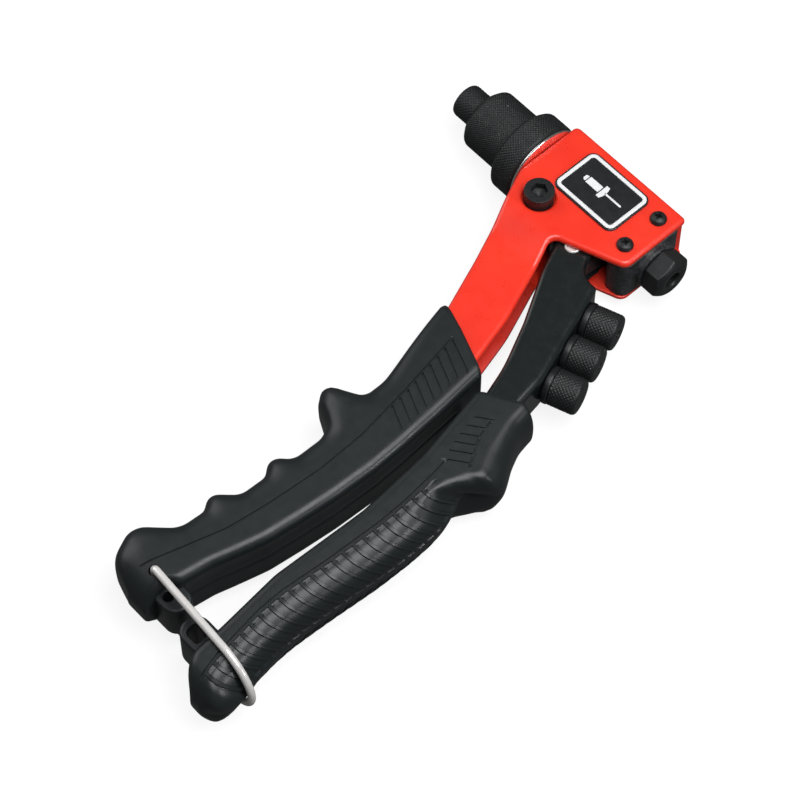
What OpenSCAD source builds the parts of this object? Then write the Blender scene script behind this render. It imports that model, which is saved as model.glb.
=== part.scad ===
/* [Frame and front handle] */
// Outer width of the frame over the head
head_w = 21; // [20:0.5:22]
// Outer width of the frame channel down the handle
handle_w = 14.5; // [14:0.5:15]
// Wall thickness of the frame
frame_t = 2.2; // [1.8:0.1:2.4]
// Height of the nose axis above the middle of the lever pin
pin_drop = 18.2; // [18:0.1:18.4]

/* [Nose] */
// Outer diameter of every nosepiece
nosepiece_d = 12.2; // [11.5:0.1:12.6]
// Diameter of the mandrel hole in the fitted nosepiece
mandrel_d = 3.0; // [2.4:0.1:3.8]
// Length of a nosepiece head
nosepiece_l = 9.3; // [8.5:0.1:9.3]
// Outer diameter of the knurled nose sleeve
sleeve_d = 22.3; // [21:0.1:23]
// Outer diameter of the knurled lock ring
ring_d = 30; // [28:0.5:31]

/* [Pulling mechanism] */
// Diameter of the jaw case
jaw_case_d = 13; // [12.5:0.1:13]
// Diameter of the pull rod
rod_d = 9; // [8.6:0.1:9]
// Diameter of the hole that spent mandrels fall through
exit_d = 5.8; // [5:0.1:6]
// Number of gripping jaws
jaw_count = 3; // [2:1:4]

/* [Lever] */
// Outer width of the lever channel
lever_w = 15; // [14.5:0.1:15]
// Sheet thickness of the lever
lever_t = 2.2; // [2:0.1:2.2]
// Tilt of the stored nosepieces from the nose axis, in degrees
store_tilt = 20.2; // [19:0.2:22]
// Spacing of the stored nosepieces
store_pitch = 13.3; // [13:0.1:14]

/* [Grips and bail] */
// Width of both plastic grips
grip_w = 22.4; // [21:0.2:22.6]
// Wire diameter of the bail
wire_d = 2.5; // [2:0.1:2.6]

/* [Hidden] */
$fn = 64;

run = 0.05;                       // radial clearance of a running fit
half_w = head_w / 2;
inner_w = half_w - frame_t;
top_y = -13.8;
front_x = -37.8;
rear_x = -87.3;
lever_pin = [-69.65, pin_drop];
bolt_at = [-50, 14.5];
screw_x = -81.9;
screw_y = 7.4;
badge_at = [-62.3, -1.4];
block_front = front_x - frame_t - 0.05;
block_rear = -88;
hex_front = -90.1;
hex_rear = -97.2;
sleeve_front = -nosepiece_l - 0.1;
sleeve_rear = -27.1;
ring_rear = -36.6;
case_front = -26.3;
case_rear = -50.3;
yoke_front = -77.7;
yoke_rear = -80.9;
tip_swing = 13;                   // lean of the lever fork behind upright when closed
fork_tip = lever_pin + pin_drop * [-sin(tip_swing), -cos(tip_swing)];
cheek = lever_w / 2;
bail_pivot = [-71.4, 191.9];
bail_reach = 45.3;
bail_tilt = 3.2;
grip_half = grip_w / 2;

// ---- helpers -------------------------------------------------------------------------------

function flat(p) = [p[0], p[1]];
function unit(v) = v / norm(v);

// Arc of radius b[2] that rounds the corner b between its neighbours a and c
function corner_arc(a, b, c) =
    let (
        p = flat(b),
        u = unit(flat(a) - p),
        w = unit(flat(c) - p),
        half = acos(max(-1, min(1, u * w))) / 2,
        centre = p + unit(u + w) * (b[2] / sin(half)),
        first = p + u * (b[2] / tan(half)) - centre,
        last = p + w * (b[2] / tan(half)) - centre,
        start = atan2(first[1], first[0]),
        turn = (atan2(last[1], last[0]) - start + 540) % 360 - 180,
        steps = max(1, ceil(abs(turn) / 12))
    )
    [for (i = [0:steps]) centre + b[2] * [cos(start + turn * i / steps), sin(start + turn * i / steps)]];

// Closed outline from corners given as [x, y, radius]
function rounded(pts) =
    let (n = len(pts))
    [for (i = [0:n - 1])
        each (pts[i][2] > 0 ? corner_arc(pts[(i + n - 1) % n], pts[i], pts[(i + 1) % n]) : [flat(pts[i])])];

module slab(pts, z0, z1)
{
    translate([0, 0, z0])
        linear_extrude(z1 - z0)
            polygon(rounded(pts));
}

// Plate standing along the X axis, from a y-z outline
module along_x(pts, x0, x1)
{
    translate([x0, 0, 0])
        rotate([90, 0, 90])
            linear_extrude(x1 - x0)
                polygon(pts);
}

// Straight round bar between two places on the nose axis
module bar_x(d, x0, x1)
{
    translate([min(x0, x1), 0, 0])
        rotate([0, 90, 0])
            cylinder(d = d, h = abs(x1 - x0));
}

// Solid of revolution about the nose axis from [x, radius] points
module turned_x(pts)
{
    rotate([0, 90, 0])
        rotate([0, 0, 90])
            rotate_extrude()
                polygon([for (p = pts) [p[1], p[0]]]);
}

// Round bar along Z
module bar_z(at, d, z0, z1)
{
    translate([at[0], at[1], z0])
        cylinder(d = d, h = z1 - z0);
}

// Coil spring along X, swept as rings of a round wire
module coil_x(x0, x1, mean_r, wire_r, turns, per_turn = 20, sides = 8)
{
    n = round(turns * per_turn);
    length = x1 - x0 - 2 * wire_r;
    pts = [for (i = [0:n]) let (a = 360 * i / per_turn, x = x0 + wire_r + length * i / n)
        for (k = [0:sides - 1]) let (b = 360 * k / sides, r = mean_r + wire_r * cos(b))
            [x + wire_r * sin(b), r * cos(a), r * sin(a)]];
    walls = [for (i = [0:n - 1], k = [0:sides - 1]) let (m = (k + 1) % sides)
        [i * sides + k, i * sides + m, (i + 1) * sides + m, (i + 1) * sides + k]];
    first_cap = [for (k = [sides - 1:-1:0]) k];
    last_cap = [for (k = [0:sides - 1]) n * sides + k];
    polyhedron(points = pts, faces = concat([first_cap], walls, [last_cap]), convexity = 8);
}

// ---- frame ---------------------------------------------------------------------------------

// Half width of the frame along the handle, for an offset in from its outer face
function width_profile(off) =
    let (wide = half_w - off, slim = handle_w / 2 - off)
    [[-30, -wide], [21, -wide], [34, -slim], [230, -slim], [230, slim], [34, slim], [21, wide], [-30, wide]];

frame_outline = [[front_x, top_y, 2], [front_x, 11.5, 12], [-53, 45, 120], [-63.5, 72, 60],
                 [-71.8, 105, 60], [-72.6, 135, 60], [-69.5, 172, 1.5], [-79.5, 172, 1.5],
                 [-84.5, 140, 60], [-84.8, 110, 60], [-81.5, 78, 60], [-74.6, 52, 60],
                 [-63.4, 21.8, 3], [rear_x, 12.4, 3.5], [rear_x, top_y, 1.5]];
frame_room = [[front_x - frame_t, top_y + frame_t, 0.6], [front_x - frame_t, 11.9, 10],
              [-55.4, 45, 118], [-65.9, 72, 58], [-74.2, 105, 58], [-75, 135, 58],
              [-71.9, 170, 0], [-71.9, 180, 0], [-110, 180, 0], [-110, top_y + frame_t, 0]];

module frame()
{
    color([0.93, 0.12, 0.06])
        difference() {
            intersection() {
                slab(frame_outline, -half_w, half_w);
                along_x(width_profile(0), -120, 0);
            }
            intersection() {
                slab(frame_room, -inner_w, inner_w);
                along_x(width_profile(frame_t), -120, 0);
            }
            bar_x(19.2, front_x + 1, front_x - frame_t - 1);
            bar_z(bolt_at, 6.2, -half_w - 1, half_w + 1);
            for (y = [-screw_y, screw_y])
                bar_z([screw_x, y], 3.3, -half_w - 1, half_w + 1);
        }
}

// ---- head casting --------------------------------------------------------------------------

block_half = inner_w - 0.05;
chamber_front = -59.5;
lug_half = cheek - lever_t - 0.2;

module head_block()
{
    color([0.16, 0.16, 0.17])
        difference() {
            union() {
                bar_x(17, -18.4, -27.2);
                bar_x(19, -27.2, block_front);
                slab([[block_front, -11.5, 0.5], [block_front, 10.5, 3], [-45.2, 20.9, 3],
                      [chamber_front + 2, 20.9, 2], [chamber_front, 9.5, 0], [chamber_front, -11.5, 0]],
                     -block_half, block_half);
                translate([-80, -11.5, -block_half])
                    cube([80 + chamber_front, 2.8, 2 * block_half]);
                slab([[-79.3, -11.5, 0], [-79.3, 13.5, 2], [block_rear, 13.5, 4], [block_rear, -11.5, 2]],
                     -block_half, block_half);
                slab([[chamber_front + 1, 7, 0], [chamber_front + 1, 18, 1], [-65.5, 24.2, 5],
                      [-74.5, 24.2, 5], [-76, 7, 1]], -lug_half, lug_half);
                bar_x(16.4, block_rear + 1, hex_front + 0.05);
            }
            bar_x(jaw_case_d + 2 * run, -17, chamber_front - 1);
            bar_x(12.6, -79, hex_front - 1);
            translate([-81.7, -6.5, -7.6])
                cube([3.7, 13, 15.2]);
            bar_z(bolt_at, 6.2, -half_w, half_w);
            bar_z(lever_pin, 5, -half_w, half_w);
            for (y = [-screw_y, screw_y], s = [-1, 1])
                bar_z([screw_x, y], 3.02, s > 0 ? 3.6 : -block_half - 1, s > 0 ? block_half + 1 : -3.6);
        }
}

module block_bolt()
{
    color([0.13, 0.13, 0.14])
        difference() {
            union() {
                bar_z(bolt_at, 6, -14.9, half_w + 0.02);
                bar_z(bolt_at, 10, half_w, half_w + 3.6);
            }
            translate([bolt_at[0], bolt_at[1], half_w + 1])
                cylinder(d = 5.8, h = 4, $fn = 6);
        }
}

module block_bolt_nut()
{
    color([0.13, 0.13, 0.14])
        difference() {
            translate([bolt_at[0], bolt_at[1], -half_w - 4])
                cylinder(d = 10 / cos(30), h = 4, $fn = 6);
            bar_z(bolt_at, 6.04, -half_w - 5, 0);
        }
}

// Pan head screw with a crossed recess, head outwards along +Z
module pan_screw()
{
    difference() {
        union() {
            rotate_extrude()
                polygon([[0, 0], [2.8, 0], [2.8, 0.5], [2.45, 1.2], [1.8, 1.75], [0.9, 2], [0, 2.05]]);
            translate([0, 0, -6.6])
                cylinder(d = 3, h = 6.7);
        }
        for (a = [0, 90])
            rotate([0, 0, a])
                translate([-1.35, -0.35, 1])
                    cube([2.7, 0.7, 2]);
    }
}

module block_screws()
{
    color([0.2, 0.2, 0.21])
        for (y = [-screw_y, screw_y], s = [0, 180])
            translate([screw_x, y, 0])
                rotate([s, 0, 0])
                    translate([0, 0, half_w])
                        pan_screw();
}

badge_size = [26.8, 19];
module badge_slab(size, r, z0, z1)
{
    half = size / 2;
    slab([for (s = [[-1, -1], [1, -1], [1, 1], [-1, 1]])
        [badge_at[0] + s[0] * half[0], badge_at[1] + s[1] * half[1], r]], z0, z1);
}

module badge_plate()
{
    color([0.1, 0.1, 0.11])
        difference() {
            badge_slab(badge_size, 3, half_w, half_w + 0.8);
            difference() {
                badge_slab(badge_size - [1.2, 1.2], 2.4, half_w + 0.5, half_w + 2);
                badge_slab(badge_size - [3.8, 3.8], 1.4, half_w, half_w + 3);
            }
        }
}

module badge_border()
{
    color([0.93, 0.93, 0.92])
        difference() {
            badge_slab(badge_size - [1.2, 1.2], 2.4, half_w + 0.5, half_w + 0.9);
            badge_slab(badge_size - [3.8, 3.8], 1.4, half_w, half_w + 3);
        }
}

// ---- nose ----------------------------------------------------------------------------------

module spacer_washer()
{
    color([0.75, 0.75, 0.74])
        difference() {
            bar_x(29.2, front_x + 0.95, front_x + 0.05);
            bar_x(19.3, front_x + 2, front_x - 2);
        }
}

module lock_ring()
{
    color([0.15, 0.15, 0.16])
        difference() {
            turned_x([[-27.3, 0], [-27.3, ring_d / 2 - 1.2], [-28.3, ring_d / 2],
                      [ring_rear + 1, ring_d / 2], [ring_rear, ring_d / 2 - 1], [ring_rear, 0]]);
            bar_x(19 + 2 * run, -20, -40);
        }
}

module nose_sleeve()
{
    color([0.15, 0.15, 0.16])
        difference() {
            turned_x([[sleeve_front, 0], [sleeve_front, sleeve_d / 2 - 1.6],
                      [sleeve_front - 1.3, sleeve_d / 2], [sleeve_rear + 0.4, sleeve_d / 2],
                      [sleeve_rear, sleeve_d / 2 - 0.4], [sleeve_rear, 0]]);
            bar_x(9 + 2 * run, 0, -20);
            bar_x(14, -15.5, -20);
            bar_x(17 + 2 * run, -18.2, -30);
        }
}

// Knurled tip with a threaded shank, its front face at the origin and its hole along X
module nosepiece_shape(hole_d, shank_l)
{
    r = nosepiece_d / 2;
    difference() {
        turned_x([[0, 0], [0, r - 0.9], [-0.9, r], [-nosepiece_l + 0.3, r], [-nosepiece_l, r - 0.3],
                  [-nosepiece_l, 4.5], [-nosepiece_l - shank_l, 4.5], [-nosepiece_l - shank_l, 0]]);
        bar_x(hole_d, 1, -nosepiece_l - shank_l - 1);
    }
}

module nosepiece()
{
    color([0.14, 0.14, 0.15])
        nosepiece_shape(mandrel_d, 6);
}

module rear_cap()
{
    face_r = 5.7;
    corner_r = 7 / cos(30);
    color([0.15, 0.15, 0.16])
        difference() {
            union() {
                intersection() {
                    translate([hex_rear, 0, 0])
                        rotate([0, 90, 0])
                            rotate([0, 0, 90 - 8])
                                cylinder(r = corner_r, h = hex_front - hex_rear, $fn = 6);
                    turned_x([[hex_rear, 0], [hex_rear, face_r],
                              [hex_rear + (corner_r - face_r) * tan(30), corner_r + 0.1],
                              [hex_front, corner_r + 0.1], [hex_front, 0]]);
                }
                bar_x(12.5, hex_front - 0.1, -84.2);
            }
            bar_x(10.7, -80, -95.3);
            bar_x(exit_d, -90, -99);
        }
}

// ---- pulling mechanism ---------------------------------------------------------------------

jaw_back = -37;
cone_front_r = 3.2;
cone_back_r = 5.1;

module jaw_case()
{
    color([0.5, 0.5, 0.52])
        difference() {
            bar_x(jaw_case_d, case_front, case_rear);
            turned_x([[case_front + 1, 0], [case_front + 1, cone_front_r], [case_front - 0.5, cone_front_r],
                      [jaw_back, cone_back_r], [-45, cone_back_r], [-45, 0]]);
            bar_x(rod_d + 2 * run, -44, case_rear - 1);
        }
}

module jaws()
{
    gap = 0.4;
    color([0.42, 0.42, 0.44])
        difference() {
            turned_x([[case_front - 0.9, 0], [case_front - 0.9, cone_front_r - 0.1],
                      [jaw_back + 0.1, cone_back_r - 0.1], [jaw_back + 0.1, 0]]);
            bar_x(2.6, case_front, jaw_back - 1);
            for (i = [0:jaw_count - 1])
                rotate([i * 360 / jaw_count, 0, 0])
                    translate([-45, 0, -gap / 2])
                        cube([25, 10, gap]);
        }
}

module jaw_pusher()
{
    color([0.5, 0.5, 0.52])
        difference() {
            turned_x([[jaw_back, 0], [jaw_back, 3], [jaw_back - 0.8, 4.9], [-40.2, 4.9], [-40.2, 0]]);
            bar_x(4.2, -30, -45);
        }
}

module jaw_spring()
{
    color([0.6, 0.6, 0.6])
        coil_x(-45.1, -40.3, 3.9, 0.5, 3.5);
}

module pull_rod()
{
    color([0.55, 0.55, 0.57])
        difference() {
            union() {
                bar_x(rod_d, -45.2, yoke_rear);
                bar_x(6.8, yoke_rear, -91.5);
            }
            bar_x(4.4, -40, -95);
        }
}

module rod_lock_nut()
{
    color([0.5, 0.5, 0.52])
        difference() {
            bar_x(12.6, case_rear - 0.1, -53.3);
            bar_x(rod_d + 2 * run, -45, -60);
        }
}

// Block round the rod, with an ear on each side for the fork tips to push on
module pull_yoke()
{
    thick = yoke_front - yoke_rear;
    body_half = cheek - lever_t - 0.1;
    ear_top = 0.9;
    color([0.5, 0.5, 0.52])
        difference() {
            union() {
                translate([yoke_rear, -6.2, -body_half])
                    cube([thick, 12.4, 2 * body_half]);
                translate([yoke_rear, -6.2, -7.3])
                    cube([thick, 6.2 + ear_top, 14.6]);
            }
            bar_x(rod_d + 2 * run, -70, -90);
        }
}

module return_spring()
{
    color([0.6, 0.6, 0.6])
        coil_x(-95.2, yoke_rear - 0.1, 4.35, 0.65, 6);
}

// ---- lever ---------------------------------------------------------------------------------

notch_at = [-83.8, 15.7];
notch_r = 7.5;
lever_outline = [[-62.2, 18, 4], [-70.2, 32.6, 40], [-80, 49, 60], [-88.2, 65, 60], [-92.4, 79, 40],
                 [-97.2, 100, 60], [-99.8, 128, 60], [-99.8, 184, 2], [-107.6, 184, 2], [-108.4, 130, 60],
                 [-106.6, 100, 60], [-101.2, 72, 30], [-99.05, 59, 30], [-85.9, 23.2, 1.5],
                 [-76.3, 23.2, 0], [-76.3, 11, 3], [-64, 9, 3]];
lever_room = [[-55, 0, 0], [-55, 60, 0], [-85, 120, 0], [-85, 190, 0], [-105.4, 190, 0], [-106.2, 130, 58],
              [-104.4, 100, 58], [-99, 72, 28], [-96.7, 59, 28], [-75, 0, 0]];

// Fork arm from the lever pin up to the yoke; its round tip is wider than the arm below it
module fork_arm(z0, z1)
{
    tip_r = 3.6;
    neck_half = 3.2;
    root_half = 4.2;
    side = unit([fork_tip[1] - lever_pin[1], lever_pin[0] - fork_tip[0]]);
    translate([0, 0, z0])
        linear_extrude(z1 - z0) {
            polygon([lever_pin + side * root_half, lever_pin - side * root_half,
                     fork_tip - side * neck_half, fork_tip + side * neck_half]);
            translate(fork_tip)
                circle(r = tip_r);
        }
}

module lever()
{
    inner = cheek - lever_t;
    color([0.11, 0.12, 0.12])
        difference() {
            union() {
                slab(lever_outline, -cheek, cheek);
                fork_arm(-cheek, cheek);
            }
            slab(lever_room, -inner, inner);
            fork_arm(-inner, inner);
            bar_z(lever_pin, 14, -inner, inner);
            bar_z(notch_at, 2 * notch_r, -cheek - 1, cheek + 1);
            bar_z(lever_pin, 5 + 2 * run, -cheek - 1, cheek + 1);
            for (i = [0:2])
                stored(i)
                    bar_x(9.1, -nosepiece_l + 1, -nosepiece_l - 12);
        }
}

module lever_pin()
{
    color([0.75, 0.74, 0.72])
        difference() {
            bar_z(lever_pin, 5, -7.9, 7.9);
            bar_z(lever_pin, 2.6, 6.9, 9);
            bar_z(lever_pin, 2.6, -9, -6.9);
        }
}

// Place of stored nosepiece i: front face out along the axis that leaves the lever's back
first_store = [-99.9, 27.1];
module stored(i)
{
    along = store_pitch * i;
    translate([first_store[0] - along * sin(store_tilt), first_store[1] + along * cos(store_tilt), 0])
        rotate([0, 0, 180 + store_tilt])
            children();
}

module store_bar()
{
    color([0.12, 0.12, 0.13])
        difference() {
            stored(0)
                translate([-nosepiece_l - 8.1, -store_pitch * 2 - 5.2, -5.2])
                    cube([2.6, store_pitch * 2 + 10.4, 10.4]);
            for (i = [0:2])
                stored(i)
                    bar_x(9.08, 0, -30);
        }
}

module store_rings()
{
    color([0.08, 0.08, 0.09])
        for (i = [0:2])
            stored(i)
                difference() {
                    turned_x([[-nosepiece_l - 0.1, 0], [-nosepiece_l - 0.1, 5.9], [-nosepiece_l - 0.5, 6.3],
                              [-nosepiece_l - 2, 6.3], [-nosepiece_l - 2.4, 5.9], [-nosepiece_l - 2.4, 0]]);
                    bar_x(9.2, 0, -20);
                }
}

module spare_nosepiece(i, hole_d)
{
    color([0.14, 0.14, 0.15])
        stored(i)
            nosepiece_shape(hole_d, 8.2);
}

module spare_nosepiece_1() { spare_nosepiece(0, 2.5); }
module spare_nosepiece_2() { spare_nosepiece(1, 2.1); }
module spare_nosepiece_3() { spare_nosepiece(2, 1.5); }

// ---- grips and bail ------------------------------------------------------------------------

front_grip_outline = [[-60.8, 65, 1.5], [-68, 98, 20], [-67.8, 106.3, 5], [-55.4, 112.3, 2.6],
                      [-58.7, 119, 3], [-70.3, 122.5, 8], [-70, 137, 6], [-65.2, 141.8, 3],
                      [-68.9, 147, 5], [-68.6, 157, 6], [-62.6, 163.6, 3], [-65.4, 168.5, 4],
                      [-65, 178, 8], [-54.4, 187.8, 6], [-59.6, 199.2, 8], [-71.8, 202.6, 3],
                      [-77.5, 199.5, 3], [-77, 183, 6], [-84.6, 160, 40], [-88.6, 136, 60],
                      [-88.8, 108, 60], [-84, 74.5, 2], [-73, 67.6, 20]];

module front_grip()
{
    color([0.14, 0.15, 0.155])
        difference() {
            union() {
                slab(front_grip_outline, -grip_half, grip_half);
                bar_z([-79.2, 194.6], 10, -8, 6.5);
                translate([-80, 189.6, -8])
                    cube([4, 10, 14.5]);
            }
            intersection() {
                slab([for (p = frame_outline) p], -half_w, half_w);
                along_x(width_profile(-0.02), -120, 0);
            }
            slab([[-63, 60, 0], [-74, 105, 60], [-75, 135, 60], [-72, 172, 0], [-79, 172, 0],
                  [-84, 140, 60], [-84.3, 110, 60], [-79, 60, 0]], -4.9, 4.9);
            bar_z([-79.2, 194.6], 5, -9, 8);
            bar_z(bail_pivot, 3.4, -grip_half - 1, grip_half + 1);
        }
}

// Front and back edges of the lever grip against its length, and the half thickness near its end
grip_front_edge = [[71.3, -104.5], [79.6, -89.6], [106, -94.9], [132, -97.4], [166, -96.2], [189.5, -98.7],
                   [200, -99.2], [204, -101.6], [206.5, -105], [208, -108.4]];
grip_back_edge = [[71.3, -106.6], [82, -109], [90, -113.6], [94.5, -116.2], [99, -114.4], [103, -112.9],
                  [118, -113.7], [138, -113.7], [160, -111.8], [180, -112.2], [192, -113.4], [200, -114.9],
                  [204, -114.6], [206.5, -112.6], [208, -109.6]];
grip_end = [199, 208];

// Cross-section of the lever grip at y: square with rounded corners in front, half round behind
function grip_ring(y, steps = 6) =
    let (
        front = lookup(y, grip_front_edge),
        back = lookup(y, grip_back_edge),
        late = max(0, (y - grip_end[0]) / (grip_end[1] - grip_end[0])),
        half = grip_half * sqrt(max(0.1, 1 - late * late)),
        depth = front - back,
        soft = min(4, depth * 0.3, half * 0.5),
        round_l = min(half, depth - soft - 0.2),
        side = concat(
            [for (i = [0:3]) let (a = 90 * i / 3)
                [front - soft + soft * cos(a), half - soft + soft * sin(a)]],
            [for (i = [0:steps]) let (a = 90 * i / steps)
                [back + round_l - round_l * sin(a), half * cos(a)]])
    )
    concat([for (p = side) [p[0], y, p[1]]],
           [for (i = [len(side) - 2:-1:0]) [side[i][0], y, -side[i][1]]]);

module lever_grip_body()
{
    stations = concat([for (y = [71.5:2:79.5]) y], [for (y = [83:4.5:199]) y], [201.5, 203.5, 205.3, 206.7, 207.7]);
    rings = [for (y = stations) grip_ring(y)];
    n = len(rings[0]);
    last = len(rings) - 1;
    walls = [for (j = [0:last - 1], k = [0:n - 1]) let (m = (k + 1) % n)
        each [[j * n + k, j * n + m, (j + 1) * n + m], [j * n + k, (j + 1) * n + m, (j + 1) * n + k]]];
    polyhedron(points = [for (r = rings) each r],
               faces = concat([[for (k = [n - 1:-1:0]) k]], walls, [[for (k = [0:n - 1]) last * n + k]]),
               convexity = 6);
}

module lever_grip()
{
    color([0.14, 0.15, 0.155])
        difference() {
            union() {
                lever_grip_body();
                bar_z([-93.6, 194.5], 9.6, -8, 6.5);
                translate([-100, 189.7, -8])
                    cube([6.4, 9.6, 14.5]);
            }
            slab(lever_outline, -cheek, cheek);
            translate([-96.8, 191.5, -9])
                cube([6, 6, 18]);
        }
}

// U of round wire: two legs outside the grips, a round closed end, and tips bent into the pivot hole
module bail()
{
    r = wire_d / 2;
    leg_z = grip_half + r + 0.3;
    straight = bail_reach - leg_z;
    color([0.78, 0.78, 0.77])
        translate([bail_pivot[0], bail_pivot[1], 0])
            rotate([0, 0, 180 - bail_tilt]) {
                for (s = [-1, 1]) {
                    translate([0, 0, s * leg_z])
                        rotate([0, 90, 0])
                            cylinder(d = wire_d, h = straight);
                    translate([0, 0, s * leg_z])
                        sphere(d = wire_d);
                    translate([0, 0, s > 0 ? leg_z - 7 : -leg_z])
                        cylinder(d = wire_d, h = 7);
                }
                translate([straight, 0, 0])
                    rotate([90, 0, 0])
                        rotate([0, 0, -90])
                            rotate_extrude(angle = 180)
                                translate([leg_z, 0])
                                    circle(d = wire_d);
            }
}

frame();
head_block();
block_bolt();
block_bolt_nut();
block_screws();
badge_plate();
badge_border();
spacer_washer();
lock_ring();
nose_sleeve();
nosepiece();
rear_cap();
jaw_case();
jaws();
jaw_pusher();
jaw_spring();
pull_rod();
rod_lock_nut();
pull_yoke();
return_spring();
lever();
lever_pin();
store_bar();
store_rings();
spare_nosepiece_1();
spare_nosepiece_2();
spare_nosepiece_3();
front_grip();
lever_grip();
bail();
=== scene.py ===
"""Hand riveter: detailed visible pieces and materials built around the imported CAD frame.

Lengths are in millimetres, in the CAD frame, and become metres where a mesh is made:
+X leaves the nose, +Y runs towards the handle ends and +Z rises from the floor it lies on.
"""

import math

import bmesh
import bpy
import numpy as np
from mathutils import Matrix, Vector


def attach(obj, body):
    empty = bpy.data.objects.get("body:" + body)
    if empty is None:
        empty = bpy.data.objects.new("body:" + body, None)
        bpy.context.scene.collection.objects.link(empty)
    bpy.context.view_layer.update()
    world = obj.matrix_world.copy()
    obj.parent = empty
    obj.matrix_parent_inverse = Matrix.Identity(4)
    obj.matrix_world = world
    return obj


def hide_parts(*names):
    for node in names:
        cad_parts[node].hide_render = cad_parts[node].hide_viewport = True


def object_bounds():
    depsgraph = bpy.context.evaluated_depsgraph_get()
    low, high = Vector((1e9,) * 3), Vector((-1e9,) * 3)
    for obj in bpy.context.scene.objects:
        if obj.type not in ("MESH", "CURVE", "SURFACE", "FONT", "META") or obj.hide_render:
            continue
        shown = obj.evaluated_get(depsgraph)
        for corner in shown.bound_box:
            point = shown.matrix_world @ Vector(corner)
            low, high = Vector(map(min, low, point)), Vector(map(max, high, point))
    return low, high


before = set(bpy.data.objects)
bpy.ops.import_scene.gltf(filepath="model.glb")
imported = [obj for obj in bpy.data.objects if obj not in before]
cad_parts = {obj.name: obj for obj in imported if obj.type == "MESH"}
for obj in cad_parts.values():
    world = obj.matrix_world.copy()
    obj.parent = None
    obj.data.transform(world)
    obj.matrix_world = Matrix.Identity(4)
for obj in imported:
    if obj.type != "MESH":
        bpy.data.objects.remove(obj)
CAD_BOX = [list(corner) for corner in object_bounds()]

MM = 0.001

# ---- driving places, shared with the CAD frame -------------------------------------------------

HEAD_HALF = 10.5
HANDLE_HALF = 7.25
SHEET = 2.2
NECK = (21.0, 34.0)
LEVER_HALF = 7.5
LEVER_PIN = (-69.65, 18.2)
BOLT_AT = (-50.0, 14.5)
SCREW_AT = (-81.9, 7.4)
BADGE_AT = (-62.3, -1.4)
BADGE_SIZE = (26.8, 19.0)
GRIP_HALF = 11.2
STORE_FIRST = (-99.9, 27.1)
STORE_TILT = 20.2
STORE_PITCH = 13.3
BAIL_PIVOT = (-71.4, 191.9)
BAIL_REACH = 45.3
BAIL_TILT = 3.2
WIRE_R = 1.25

FRAME_OUTLINE = [
    (-37.8, -14.3, 2), (-37.8, 11, 12), (-52.5, 45, 120), (-63.1, 72, 60), (-71.8, 105, 60),
    (-72.6, 135, 60), (-69.5, 172, 1.5), (-79.5, 172, 1.5), (-84.5, 140, 60), (-84.9, 110, 60),
    (-82.4, 78, 60), (-75.4, 52, 60), (-63.4, 21.8, 3), (-87.8, 12.6, 3.5), (-87.8, -14.3, 1.5),
]
LEVER_OUTLINE = [
    (-62.6, 18, 4.5), (-69.9, 32.6, 40), (-79.4, 49, 60), (-87.2, 65, 60), (-91.6, 79, 40),
    (-97.2, 100, 60), (-99.8, 128, 60), (-99.8, 184, 2), (-107.6, 184, 2), (-108.4, 130, 60),
    (-106.6, 100, 60), (-101.2, 72, 30), (-99.05, 59, 30), (-85.9, 23.2, 1.5), (-76.3, 23.2, 7.5),
    (-76.2, 12.6, 2), (-75.5, 10, 1.5), (-77.9, -2.3, 3.4), (-71.1, -3.9, 3.4),
]


# ---- shapes: every one is a shell, (points, faces), in millimetres -----------------------------


def unit(v):
    v = np.asarray(v, float)
    return v / np.linalg.norm(v)


def corner_turn(corners, i, chord):
    """Corner i's directions before and after it, its turn and the steps its arc is drawn in."""
    x, y, radius = corners[i]
    before = unit(np.array((x, y)) - corners[i - 1][:2])
    after = unit(np.array(corners[(i + 1) % len(corners)][:2]) - (x, y))
    turn = math.atan2(before[0] * after[1] - before[1] * after[0], before @ after)
    steps = max(2, math.ceil(math.degrees(abs(turn)) / 10), math.ceil(radius * abs(turn) / chord))
    return before, after, turn, steps


def rounded(corners, inset=0.0, chord=0.8):
    """Counter-clockwise outline through rounded corners (x, y, radius), moved inwards by inset.

    The number of points depends only on the corners, so outlines of different inset match."""
    points = []
    for i, (x, y, radius) in enumerate(corners):
        before, after, turn, steps = corner_turn(corners, i, chord)
        left_before = np.array((-before[1], before[0]))
        left_after = np.array((-after[1], after[0]))
        p = np.array((x, y)) + (left_before + left_after) * (inset / (1 + left_before @ left_after))
        side = 1 if turn > 0 else -1
        r = max(radius - side * inset, 0.02)
        cut = r * math.tan(abs(turn) / 2)
        centre = p - before * cut + side * left_before * r
        arm = p - before * cut - centre
        for k in range(steps + 1):
            c, s = math.cos(turn * k / steps), math.sin(turn * k / steps)
            points.append(centre + np.array((c * arm[0] - s * arm[1], s * arm[0] + c * arm[1])))
    return np.array(points)


def corner_starts(corners, chord=0.8):
    """Index in rounded() of the first point of each corner."""
    starts = [0]
    for i in range(len(corners) - 1):
        starts.append(starts[-1] + corner_turn(corners, i, chord)[3] + 1)
    return starts


def loft(rings, closed=False):
    """Shell through equal rings; its ends are flat caps unless it closes on itself."""
    rings = np.asarray(rings, float)
    rows, columns = rings.shape[:2]
    faces = []
    for j in range(rows - 1 + closed):
        a, b = j * columns, (j + 1) % rows * columns
        for k in range(columns):
            m = (k + 1) % columns
            faces.append((a + k, a + m, b + m, b + k))
    if not closed:
        faces.append(tuple(range(columns))[::-1])
        faces.append(tuple((rows - 1) * columns + k for k in range(columns)))
    return rings.reshape(-1, 3), faces


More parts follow.
